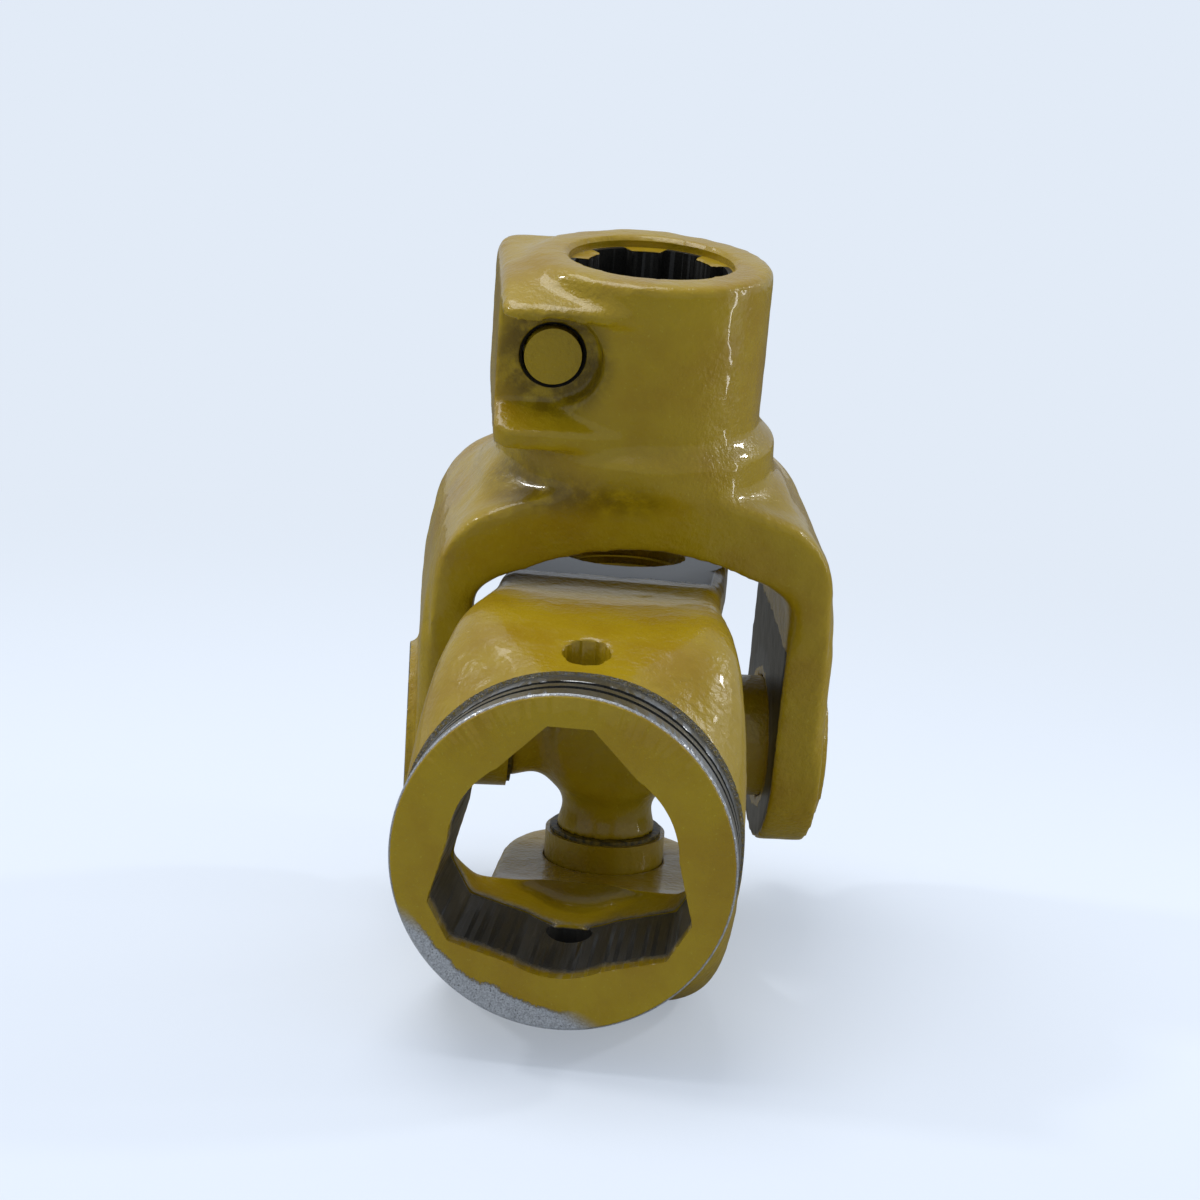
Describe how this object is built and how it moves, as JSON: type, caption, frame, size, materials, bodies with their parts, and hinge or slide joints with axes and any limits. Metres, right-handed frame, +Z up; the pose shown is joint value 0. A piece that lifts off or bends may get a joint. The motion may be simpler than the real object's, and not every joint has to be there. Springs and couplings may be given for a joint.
{
  "type": "universal joint",
  "caption": "Drive-shaft universal joint: a quick-release yoke with a splined hub and a yoke with a three-lobed tube socket, swinging on a cross with needle bearings.",
  "frame": {"origin": "centre of the tube socket's open face, on the tube yoke's axis", "axes": "+Y along the tube yoke's axis from the open face towards the cross, +Z up towards the splined hub, along the tube yoke's trunnions, +X to the right with the open face towards the viewer"},
  "size_m": [0.1082, 0.1411, 0.1689],
  "materials": {
    "yellow_paint": "glossy mustard paint over forged steel",
    "painted_kit": "glossy mustard paint over machined steel",
    "bearing_steel": "ground steel",
    "spring_steel": "dark spring steel",
    "seal_rubber": "matte black rubber"
  },
  "bodies": {
    "tube_side": {"tube_yoke": "yellow_paint", "bearing_cup_top": "painted_kit", "thrust_washer_top": "bearing_steel", "needle_rollers_top": "bearing_steel", "cup_seal_top": "seal_rubber", "snap_ring_top": "spring_steel", "bearing_cup_bottom": "painted_kit", "thrust_washer_bottom": "bearing_steel", "needle_rollers_bottom": "bearing_steel", "cup_seal_bottom": "seal_rubber", "snap_ring_bottom": "spring_steel"},
    "cross_piece": {"cross": "painted_kit", "grease_nipple": "bearing_steel"},
    "spline_side": {"spline_yoke": "yellow_paint", "lock_pin_plug": "painted_kit", "lock_pin_spring": "spring_steel", "bearing_cup_left": "painted_kit", "thrust_washer_left": "bearing_steel", "needle_rollers_left": "bearing_steel", "cup_seal_left": "seal_rubber", "snap_ring_left": "spring_steel", "bearing_cup_right": "painted_kit", "thrust_washer_right": "bearing_steel", "needle_rollers_right": "bearing_steel", "cup_seal_right": "seal_rubber", "snap_ring_right": "spring_steel"},
    "push_pin": {"lock_pin": "painted_kit"}
  },
  "joints": [
    {"name": "cross_swivel", "type": "hinge", "parent": "tube_side", "child": "cross_piece", "pos_m": [0, 0.107, 0], "axis": [0, 0, 1], "range_deg": [-21, 1]},
    {"name": "yoke_swing", "type": "hinge", "parent": "cross_piece", "child": "spline_side", "pos_m": [0, 0.107, 0], "axis": [0.9848, 0.1736, 0], "range_deg": [-201, 0]},
    {"name": "pin_push", "type": "slide", "parent": "spline_side", "child": "push_pin", "axis": [-0.1707, 0.9683, 0.1822], "range_m": [0, 0.008], "stiffness_N_per_m": 1800, "springref_m": -0.006, "deforming": ["lock_pin_spring"]}
  ]
}
